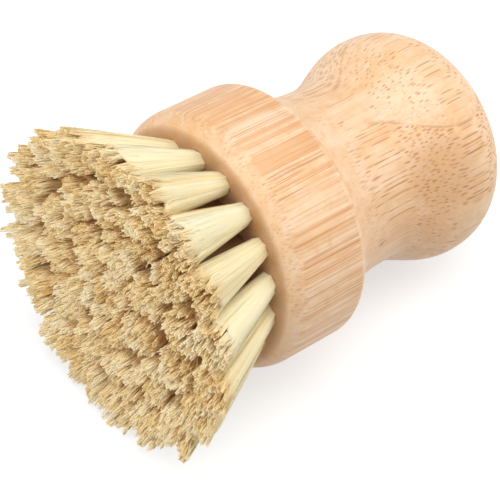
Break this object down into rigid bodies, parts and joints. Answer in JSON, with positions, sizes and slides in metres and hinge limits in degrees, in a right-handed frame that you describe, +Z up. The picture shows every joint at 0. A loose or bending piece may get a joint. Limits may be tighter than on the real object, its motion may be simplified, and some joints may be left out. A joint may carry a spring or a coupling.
{
  "type": "scrub brush",
  "caption": "Palm scrub brush: turned bamboo knob handle with a drilled round block and natural fibre tufts that flare out to a flat trimmed face.",
  "frame": {"origin": "on the ground under the middle of the brush, which lies on its side on its bristle tips and its knob", "axes": "+Z up; the bristles face -Y and the knob points to +Y, with the brush's own axis in the YZ plane, 7.1 degrees down towards the knob; X across"},
  "size_m": [0.0702, 0.0976, 0.0693],
  "materials": {
    "bamboo": "satin",
    "fibre": "matte"
  },
  "bodies": {
    "root": {"handle": "bamboo", "center_tuft": "fibre", "inner_tuft_1": "fibre", "inner_tuft_2": "fibre", "inner_tuft_3": "fibre", "inner_tuft_4": "fibre", "inner_tuft_5": "fibre", "inner_tuft_6": "fibre", "middle_tuft_01": "fibre", "middle_tuft_02": "fibre", "middle_tuft_03": "fibre", "middle_tuft_04": "fibre", "middle_tuft_05": "fibre", "middle_tuft_06": "fibre", "middle_tuft_07": "fibre", "middle_tuft_08": "fibre", "middle_tuft_09": "fibre", "middle_tuft_10": "fibre", "middle_tuft_11": "fibre", "middle_tuft_12": "fibre", "outer_tuft_01": "fibre", "outer_tuft_02": "fibre", "outer_tuft_03": "fibre", "outer_tuft_04": "fibre", "outer_tuft_05": "fibre", "outer_tuft_06": "fibre", "outer_tuft_07": "fibre", "outer_tuft_08": "fibre", "outer_tuft_09": "fibre", "outer_tuft_10": "fibre", "outer_tuft_11": "fibre", "outer_tuft_12": "fibre", "outer_tuft_13": "fibre", "outer_tuft_14": "fibre", "outer_tuft_15": "fibre", "outer_tuft_16": "fibre", "outer_tuft_17": "fibre", "outer_tuft_18": "fibre"}
  },
  "joints": []
}
